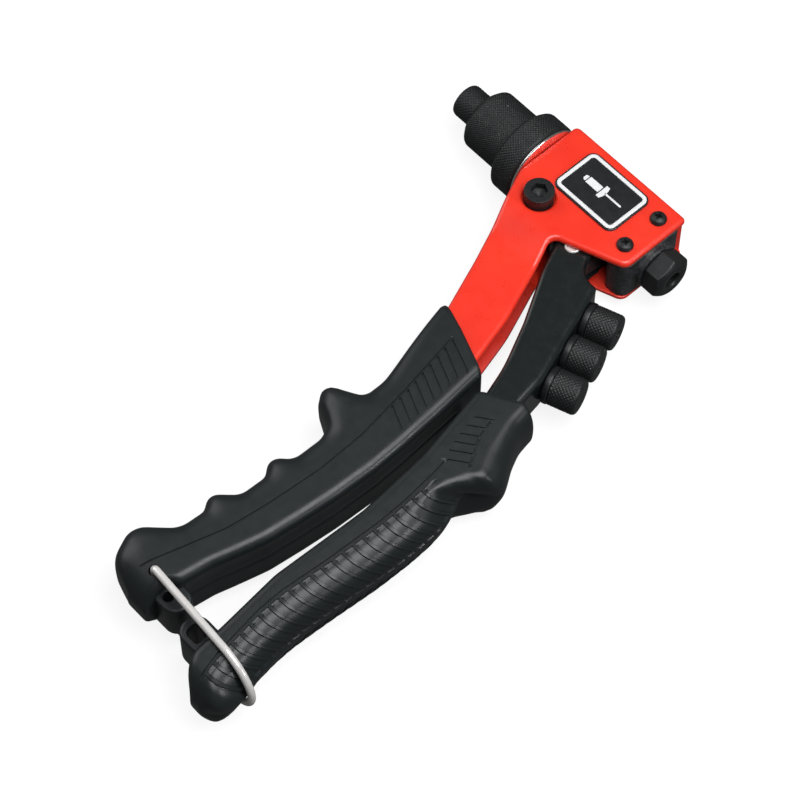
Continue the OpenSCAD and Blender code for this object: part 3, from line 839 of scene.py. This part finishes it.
def edge_curve(points, soften=1.3):
    """x as a function of y through listed (y, x) points, with its corners softened."""
    step = 0.1
    ys = np.arange(points[0][0] - 12, points[-1][0] + 12, step)
    xs = np.interp(ys, [p[0] for p in points], [p[1] for p in points])
    reach = int(3 * soften / step)
    kernel = np.exp(-0.5 * (np.arange(-reach, reach + 1) * step / soften) ** 2)
    xs = np.convolve(np.pad(xs, reach, mode="edge"), kernel / kernel.sum(), mode="valid")
    return lambda y: float(np.interp(y, ys, xs))


def front_side(corners):
    """x of an outline's +X side as a function of y."""
    xy = split_long(rounded(corners, chord=0.4), 0.4)
    ys = np.arange(xy[:, 1].min() + 0.05, xy[:, 1].max() - 0.02, 0.1)
    xs = []
    for y in ys:
        a, b = xy, np.roll(xy, -1, axis=0)
        crosses = (a[:, 1] - y) * (b[:, 1] - y) <= 0
        a, b = a[crosses], b[crosses]
        t = (y - a[:, 1]) / np.where(b[:, 1] == a[:, 1], 1, b[:, 1] - a[:, 1])
        at = a[:, 0] + (b[:, 0] - a[:, 0]) * t
        xs.append(at.max())
    return lambda y: float(np.interp(y, ys, xs))


def ramp(v, low, high):
    t = min(1.0, max(0.0, (v - low) / (high - low)))
    return t * t * (3 - 2 * t)


def stations(low, high, step, grooves, flat, wall):
    """Row positions: an even spacing, with extra rows at the two walls of every groove."""
    special = [g + s * d for g in grooves for s in (-1, 1) for d in (flat, flat + wall)]
    even = [v for v in np.arange(low, high, step) if all(abs(v - s) > step * 0.3 for s in special)]
    return sorted(even + [s for s in special if low < s < high] + [high])


def groove(v, centres, flat, wall):
    """1 on the floor of a groove, 0 outside its walls."""
    away = min(abs(v - c) for c in centres)
    return min(1.0, max(0.0, (flat + wall - away) / wall))


def mirrored_loft(near, depth):
    """Closed grip from its near half, rows of points from z = 0 over the top to z = 0,
    pushed along its normals by depth."""
    far = near[:, -2:0:-1] * (1, 1, -1)
    ring = np.concatenate((near, far), axis=1)
    push = np.concatenate((depth, depth[:, -2:0:-1]), axis=1)
    along = np.gradient(ring, axis=0)
    around = np.roll(ring, -1, axis=1) - np.roll(ring, 1, axis=1)
    normal = np.cross(around, along)
    normal /= np.maximum(np.linalg.norm(normal, axis=2, keepdims=True), 1e-9)
    middle = ring.mean(axis=1, keepdims=True)
    outward = np.sign(((ring - middle) * normal).sum(axis=(1, 2), keepdims=True))
    ring = ring + normal * outward * push[:, :, None]
    return loft(ring)


# A panel line is a shallow groove: four places across it, and how deep each is.
LINE = (0.5, 0.34, -0.34, -0.5)
LINE_DEPTH = (0.0, 1.0, 1.0, 0.0)

# y of every rib, and half the width of its flat and the width of its wall.
RIDGES = [114.8 + 3.98 * k for k in range(23)]
RIDGE_SHAPE = (0.5, 0.22)
LADDER = [86.4, 90.0, 93.5, 96.8, 100.0, 102.6]
RUNG_SHAPE = (0.24, 0.14)
FRONT_RIBS = [72.0 + 3.72 * k for k in range(9)]
FRONT_RIB_SHAPE = (0.34, 0.16)

# How deep the lines, rungs and pockets of the grips go.
PANEL_DEPTH = 0.45
FRONT_PANEL_DEPTH = 0.5
RUNG_DEPTH = 0.42
FRONT_RIB_DEPTH = 0.5
POCKET_DEPTH = 0.55
SMOOTH_BACK = 1.7  # the pockets stop this far from the mid-plane


def lever_grip():
    front = edge_curve([(60, -89.3), (79.6, -89.6), (106, -94.9), (132, -97.1), (166, -95.8),
                        (189.5, -98.3), (200, -98.8), (204, -100.8), (206.8, -104), (209, -108)])
    back = edge_curve([(60, -107.4), (71.3, -107.8), (78, -109), (84.4, -112.1), (90.4, -116.2),
                       (94.2, -118.2), (97, -115.6), (102, -109.6), (108.4, -112.2), (114.4, -114.6),
                       (124, -115.1), (136, -114.9), (152, -113.6), (168, -112.6), (176, -112.8),
                       (186.4, -114.1), (192.4, -115.9), (198.4, -117), (204, -117), (207, -114.6),
                       (209, -110.4)])
    panel = edge_curve([(76, -94.6), (86.4, -95.9), (93.5, -97.4), (100, -99.3), (102.8, -102),
                        (110.8, -102.9), (121, -103.9), (131, -104.2), (150.6, -103.4), (169, -102),
                        (178.2, -102.3), (195.5, -104.9), (203.7, -106.9), (208, -108.7)], 0.8)
    border = edge_curve([(72, -99.6), (84.3, -101.3), (89.4, -102.7), (95, -105.9), (98.1, -108),
                         (103, -107.4), (110, -104.6), (121, -105.1), (131, -105.5), (150.6, -104.7),
                         (169, -103.3), (178.2, -103.6), (195.5, -106.1), (203.7, -107.9),
                         (208, -109)], 0.8)
    shoulder = edge_curve([(70, -102.2), (78, -103.3), (90, -106.6), (95, -109.4), (98, -111.8),
                           (101, -108.2), (107, -106.4), (115, -106.1), (131, -106.5),
                           (150.6, -105.7), (169, -104.4), (178.2, -104.7), (195.5, -107.1),
                           (203.7, -108.6), (208, -109.2)], 1.0)
    top, end = 76.5, 208.9
    rows = set(stations(top, end, 0.9, RIDGES, *RIDGE_SHAPE))
    rows |= set(stations(83, 105, 0.9, LADDER, *RUNG_SHAPE))
    rows |= {end - 3.2 * (1 - math.sin(a)) for a in np.linspace(0, math.pi / 2, 10)}
    near, depth = [], []
    # Each section leans: it meets the panel line at y = v, and y changes by slope across it.
    # On the rounded back it runs on as a chevron, whose point is on the mid-plane.
    for v in sorted(rows):
        slope = 0.56 + 0.18 * ramp(v, 78, 84) - 0.74 * ramp(v, 102, 113)
        chevron = 9.5 * ramp(v, 97, 113.5) * (1 - ramp(v, 203.6, end))
        xp = panel(v)

        def y_at(x):
            return v + slope * (x - xp)

        def solve(curve):
            x = curve(v)
            for _ in range(6):
                x = curve(y_at(x))
            return x

        xf, xb, xs = solve(front), min(solve(border), xp - 0.75), solve(shoulder)
        xs = min(xs, xb - 0.75)
        y_rear = y_at(xs) - chevron
        xr = min(back(y_rear), xs - 0.4)
        half = GRIP_HALF * math.sqrt(max(0.02, 1 - max(0.0, (v - 199.5) / (209.05 - 199.5)) ** 2))
        edge = min(2.6, half * 0.4, (xf - xp) * 0.6)
        row, push = [], []

        def put(x, z, d=0.0, y=None):
            row.append((x, y_at(x) if y is None else y, z))
            push.append(-d)

        # the inner wall, its rounded corner and the flat up to the panel line
        for z in (0, 0.3, 0.6, 0.85, 1):
            put(xf, z * (half - edge))
        for a in np.linspace(0, math.pi / 2, 6)[1:]:
            put(xf - edge * (1 - math.cos(a)), half - edge * (1 - math.sin(a)))
        for t in (0.25, 0.5, 0.75):
            put(xf - edge + (xp + 0.6 - xf + edge) * t, half)
        panel_on = PANEL_DEPTH * ramp(v, 102.4, 102.9) * (1 - ramp(v, 203.8, 204.4))
        for offset, on in zip(LINE, LINE_DEPTH):
            put(xp + offset * 0.75, half, panel_on * on)
        ladder = RUNG_DEPTH * groove(v, LADDER, *RUNG_SHAPE)
        gap = xp - xb
        for t in (0.0, 0.25, 0.5, 0.75, 1.0):
            put(xp - 0.45 - (gap - 0.9) * t, half, ladder)
        # the border line, where the pockets between the ridges begin
        border_on = PANEL_DEPTH * ramp(v, 86.0, 86.5) * (1 - ramp(v, 102.6, 103.2))
        pockets = ramp(v, 109.5, 114.0) * (1 - ramp(v, 203.2, 203.9))
        rib = POCKET_DEPTH * pockets * (1 - groove(v, RIDGES, *RIDGE_SHAPE))
        for offset, on in zip(LINE, LINE_DEPTH):
            started = 0.5 - offset
            d = max(border_on * on, rib * (0.6 * on + 0.25 * started), ladder * (offset > 0) * (gap > 1.2))
            put(xb + offset * 0.7, half, d)
        for t in (0.35, 0.65, 1.0):
            put(xb - 0.4 + (xs - xb + 0.4) * t, half, rib * (0.25 + 0.2 * t))
        # the rounded back, down to the mid-plane
        for a in np.linspace(0, math.pi / 2, 30)[1:]:
            x = xs - (xs - xr) * math.sin(a) ** (2 / 2.2)
            z = half * math.cos(a) ** (2 / 2.2) if a < math.pi / 2 - 1e-6 else 0.0
            deep = rib * (0.45 + 0.55 * ramp(a, 0, 0.5)) * (z > SMOOTH_BACK)
            put(x, z, deep, y_at(xs) - chevron * (1 - z / half))
        near.append(row)
        depth.append(push)
    near, depth = np.array(near), np.array(depth)
    near, depth = rounded_mouth(near, depth)
    body = mirrored_loft(near, depth)
    lug = rounded_slab([(-88.1, 189.3, 4.7), (-88.1, 199.3, 4.7), (-101.5, 199.3, 0.5),
                        (-101.5, 189.3, 0.5)], -8, 6.5, 0.9)
    window = prism(rounded([(-96.8, 191.5, 1.2), (-90.8, 191.5, 2.2), (-90.8, 197.5, 2.2),
                            (-96.8, 197.5, 1.2)]), -9, 8)
    lug_mesh = cut(make_mesh("lever_lug", lug), window)
    piece("lever_grip_moulding", body, GRIP, "lever", ["lever_grip"], sharp=42)
    piece("lever_grip_lug", lug_mesh, GRIP, "lever")


def rounded_mouth(near, depth, reach=1.0):
    """Adds rows that round the first end of a grip inwards over its wall."""
    first = near[0]
    middle = np.array((first[:, 0].mean(), 0, 0))
    extra = []
    for inward, forward in ((1.0, 0.0), (0.45, 0.12), (0.12, 0.45)):
        scale = 1 - inward * reach / 9
        shrunk = first.copy()
        shrunk[:, 0] = middle[0] + (first[:, 0] - middle[0]) * scale
        shrunk[:, 2] = first[:, 2] * scale
        shrunk[:, 1] = first[:, 1] - reach * (1 - forward)
        extra.append(shrunk)
    return np.concatenate((np.array(extra), near)), np.concatenate((np.zeros((3, near.shape[1])), depth))


FRONT_GRIP_OUTLINE = [
    (-60.8, 65, 1.5), (-68, 98, 20), (-67.8, 106.3, 5), (-55.4, 111.9, 2.6), (-59.6, 117.2, 3),
    (-70.3, 122.5, 8), (-70, 137, 6), (-64.3, 141.6, 3), (-68.9, 147, 5), (-68.6, 157, 6),
    (-61.7, 163.4, 3), (-65.4, 168.5, 4), (-65, 178, 8), (-54.4, 187.8, 6), (-59.6, 199.2, 8),
    (-71.8, 202.6, 3), (-77.5, 199.5, 3), (-77, 183, 6), (-84.6, 160, 40), (-88.6, 136, 60),
    (-88.8, 108, 60), (-84, 74.5, 2), (-73, 67.6, 20),
]


def front_grip():
    outer = front_side(FRONT_GRIP_OUTLINE)
    rear = edge_curve([(60, -85.5), (74.5, -86.2), (90, -87.7), (108, -89), (120, -89.4), (136, -88.7),
                       (148, -87.5), (160, -86), (166, -84.5), (172, -82.9), (178, -81.2), (186, -80),
                       (189, -79.4), (190.5, -76.6), (199.5, -77)], 0.8)

    def finger(y):
        return outer(y + 1.7) + 2.1 + 0.7 * (1 - ramp(y, 66, 95))

    panel = edge_curve([(66, -69.8), (72, -71), (95.5, -75.3), (115.9, -78.2), (133.3, -78.7),
                        (151.6, -77.3), (166.9, -75.3), (184.3, -70.2), (194, -67.3), (203, -67)], 1.5)
    top, end = 67.9, 201.0
    rows = stations(top, end, 0.8, FRONT_RIBS, *FRONT_RIB_SHAPE)
    rows = sorted(set(rows) | {end - 4 * (1 - math.sin(a)) for a in np.linspace(0, math.pi / 2, 12)})
    near, depth = [], []
    for v in rows:
        back_slope = -0.36 - 0.06 * ramp(v, 70, 76) + 0.42 * ramp(v, 104, 122)
        front_slope = -0.3 * (1 - ramp(v, 67, 84))
        width = finger(v) - rear(v)
        xp = min(panel(v), finger(v) - 0.22 * width)

        def y_at(x):
            return v + (front_slope if x > xp else back_slope) * (x - xp)

        def solve(curve):
            x = curve(v)
            for _ in range(8):
                x = 0.5 * x + 0.5 * curve(y_at(x))
            return x

        xf, xr = solve(finger), solve(rear)
        half = GRIP_HALF * math.sqrt(max(0.02, 1 - max(0.0, (v - 189.5) / (201.3 - 189.5)) ** 2))
        edge = min(3.2, half * 0.45, (xp - xr) * 0.4)
        row, push = [], []

        def put(x, z, d=0.0):
            row.append((x, y_at(x), z))
            push.append(-d)

        # the finger side, fuller at the collar, from the mid-plane up to the panel line
        reach = xf - xp - 0.6
        power = 2 / (3 + 2.5 * (1 - ramp(v, 72, 98)))
        for a in np.linspace(0, math.pi / 2, 30):
            across = math.cos(a) ** power if a < math.pi / 2 - 1e-6 else 0.0
            put(xp + 0.6 + reach * across, half * math.sin(a) ** power)
        panel_on = FRONT_PANEL_DEPTH * ramp(v, 71.4, 71.9) * (1 - ramp(v, 193.5, 194.2))
        for offset, on in zip(LINE, LINE_DEPTH):
            put(xp + offset * 0.8, half, panel_on * on)
        # the ribbed flat, its rounded edge and the inner wall with its parting line
        rib = FRONT_RIB_DEPTH * groove(v, FRONT_RIBS, *FRONT_RIB_SHAPE)
        flat_end = xr + edge
        rib_start = -0.45
        rib_end = flat_end + 0.9
        for t in (0.0, 0.03, 0.33, 0.66, 0.97, 1.0):
            x = xp + rib_start + (rib_end - xp - rib_start) * t
            put(x, half, rib * (0.03 <= t <= 0.97 or v < 73))
        for a in np.linspace(0, math.pi / 2, 8):
            put(xr + edge * (1 - math.sin(a)), half - edge * (1 - math.cos(a)))
        wall = half - edge
        seam = 0.35 * (1 - ramp(v, 186, 188)) * ramp(v, 76, 80)
        for z, d in ((0.9, 0.25), (0.75, 0.5), (0.5, 0.6), (0.25, 0.6), (0.09, 0.6), (0.05, 0.95), (0, 1.0)):
            put(xr, wall * z, seam * d)
        near.append(row)
        depth.append(push)
    near, depth = rounded_mouth(np.array(near), np.array(depth))
    body = mirrored_loft(near, depth)
    bail_hole = upright(turned([(-13, 0.02, 0), (13, 0.02, 0), (13, 1.8, 0), (-13, 1.8, 0)], 48, 40))
    mesh = cut(make_mesh("front_grip_moulding", body), moved(bail_hole, by=(*BAIL_PIVOT, 0)))
    piece("front_grip_moulding", mesh, GRIP, "body", ["front_grip"], sharp=42)
    lug = rounded_slab([(-73, 187.3, 0.5), (-73, 196.8, 0.5), (-85.5, 196.8, 4.6), (-85.5, 187.3, 4)],
                       -8, 6.5, 0.9)
    hole = upright(turned([(-9, 0.02, 0), (9, 0.02, 0), (9, 1.8, 0), (-9, 1.8, 0)], 48, 40))
    lug_mesh = cut(make_mesh("front_lug", lug), moved(hole, by=(-79, 193.3, 0)))
    piece("front_grip_lug", lug_mesh, GRIP, "body")


# ---- bail --------------------------------------------------------------------------------------


def bail():
    """Wire loop: bent tip, leg, half round end, leg, bent tip."""
    leg_z = GRIP_HALF + WIRE_R + 0.1
    straight = BAIL_REACH + 1.1 - leg_z
    bend = 1.6
    path = [(0.0, leg_z - 7), (0.0, leg_z - bend)]
    path += [(bend * (1 - math.cos(a)), leg_z - bend * (1 - math.sin(a)))
             for a in np.linspace(0, math.pi / 2, 8)[1:]]
    path += [(s, leg_z) for s in np.linspace(bend + 3, straight, 12)]
    path += [(straight + leg_z * math.sin(a), leg_z * math.cos(a)) for a in np.linspace(0, math.pi, 49)[1:-1]]
    path += [(s, -z) for s, z in reversed(path[:21])]
    path = np.array(path)
    tangent = np.gradient(path, axis=0)
    tangent /= np.linalg.norm(tangent, axis=1, keepdims=True)
    sides = 28
    rings = []
    for (s, z), (ts, tz) in zip(path, tangent):
        ring = []
        for k in range(sides):
            a = 2 * math.pi * k / sides
            ring.append((s - tz * WIRE_R * math.cos(a), WIRE_R * math.sin(a), z + ts * WIRE_R * math.cos(a)))
        rings.append(ring)
    shell = moved(loft(rings), 180 - BAIL_TILT, (*BAIL_PIVOT, 0))
    piece("bail_wire", shell, BRIGHT, "bail", ["bail"])


# ---- what stays as CAD made it: the inner works ------------------------------------------------


def finish_cad_nodes():
    finishes = {
        "jaw_case": STEEL, "jaws": STEEL, "jaw_pusher": STEEL, "jaw_spring": STEEL, "pull_rod": STEEL,
        "rod_lock_nut": STEEL, "pull_yoke": STEEL, "return_spring": STEEL, "store_bar": OXIDE,
    }
    for name, material in finishes.items():
        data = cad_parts[name].data
        data.materials.clear()
        data.materials.append(material)


# ---- floor, light and camera -------------------------------------------------------------------


def stage():
    """A glowing table below the tool and a round backdrop of the same material."""
    floor_z = CAD_BOX[0][2] - 0.0001
    m = Nodes("light_table", (0.2, 0.2, 0.2), 0.9, Emission_Strength=0.86)
    m.shader.inputs["Emission Color"].default_value = (1, 1, 1, 1)
    m.set_colour(m.mixed(m.spread(m.noise(60, 2), 0.3, 0.7), (0.19, 0.19, 0.19), (0.21, 0.21, 0.21)))
    radius, height, count = 3.0, 3.0, 96  # metres, and sides of the round wall
    ring = [(radius * math.cos(a), radius * math.sin(a)) for a in np.linspace(0, 2 * math.pi, count + 1)[:-1]]
    wall = [(k, (k + 1) % count, (k + 1) % count + count, k + count) for k in range(count)]
    for name, points, faces in (
            ("floor", [(x, y, floor_z) for x, y in ring], [tuple(range(count))]),
            ("backdrop", [(x, y, floor_z + h) for h in (0, height) for x, y in ring], wall)):
        mesh = bpy.data.meshes.new(name)
        mesh.from_pydata(points, [], faces)
        obj = bpy.data.objects.new(name, mesh)
        bpy.context.scene.collection.objects.link(obj)
        mesh.materials.append(m.material)
        # The tool is lit by the lamps and the room, not by the glowing table around it.
        obj.visible_diffuse = False
        obj.visible_glossy = False
        obj.visible_shadow = name == "floor"


def area_light(name, place, target, size, watts):
    light = bpy.data.lights.new(name, "AREA")
    light.shape = "SQUARE"
    light.size = size
    light.energy = watts
    obj = bpy.data.objects.new(name, light)
    obj.location = place
    obj.rotation_euler = (Vector(target) - Vector(place)).to_track_quat("-Z", "Y").to_euler()
    bpy.context.scene.collection.objects.link(obj)


def lights():
    """A small low key from the rear, a soft source over the head and a weak fill.

    Nothing bright stands where a level face would mirror it into the camera."""
    middle = (-0.075, 0.095, 0)
    area_light("key_low", (-1.02, -0.29, 0.42), middle, 0.11, 2.2)
    area_light("soft_over_head", (-0.26, 0.02, 0.55), (-0.07, 0.06, 0), 0.45, 3.4)
    area_light("fill_front", (0.85, 0.35, 0.65), middle, 1.0, 5.0)
    world = bpy.data.worlds.new("studio")
    world.use_nodes = True
    world.node_tree.nodes["Background"].inputs["Color"].default_value = (1, 1, 1, 1)
    world.node_tree.nodes["Background"].inputs["Strength"].default_value = 0.1
    bpy.context.scene.world = world
    bpy.context.scene.view_settings.view_transform = "Standard"


def camera():
    """Long lens, looking down on the badge side from the handle end."""
    data = bpy.data.cameras.new("camera")
    data.lens = 135
    data.sensor_width = 36
    data.clip_start = 0.01
    data.clip_end = 20
    obj = bpy.data.objects.new("camera", data)
    place = Vector((-0.4293, 0.4188, 0.7947))
    obj.location = place
    obj.rotation_euler = (Vector((-0.0717, 0.0941, 0)) - place).to_track_quat("-Z", "Y").to_euler()
    bpy.context.scene.collection.objects.link(obj)
    bpy.context.scene.camera = obj


camera()
lights()
stage()
frame_piece()
lever_piece()
lever_pin_piece()
cast_block()
cap_screw()
clamp_nut()
pan_screws()
badge()
nose()
rear_hex()
stored_nosepieces()
lever_grip()
front_grip()
bail()
finish_cad_nodes()
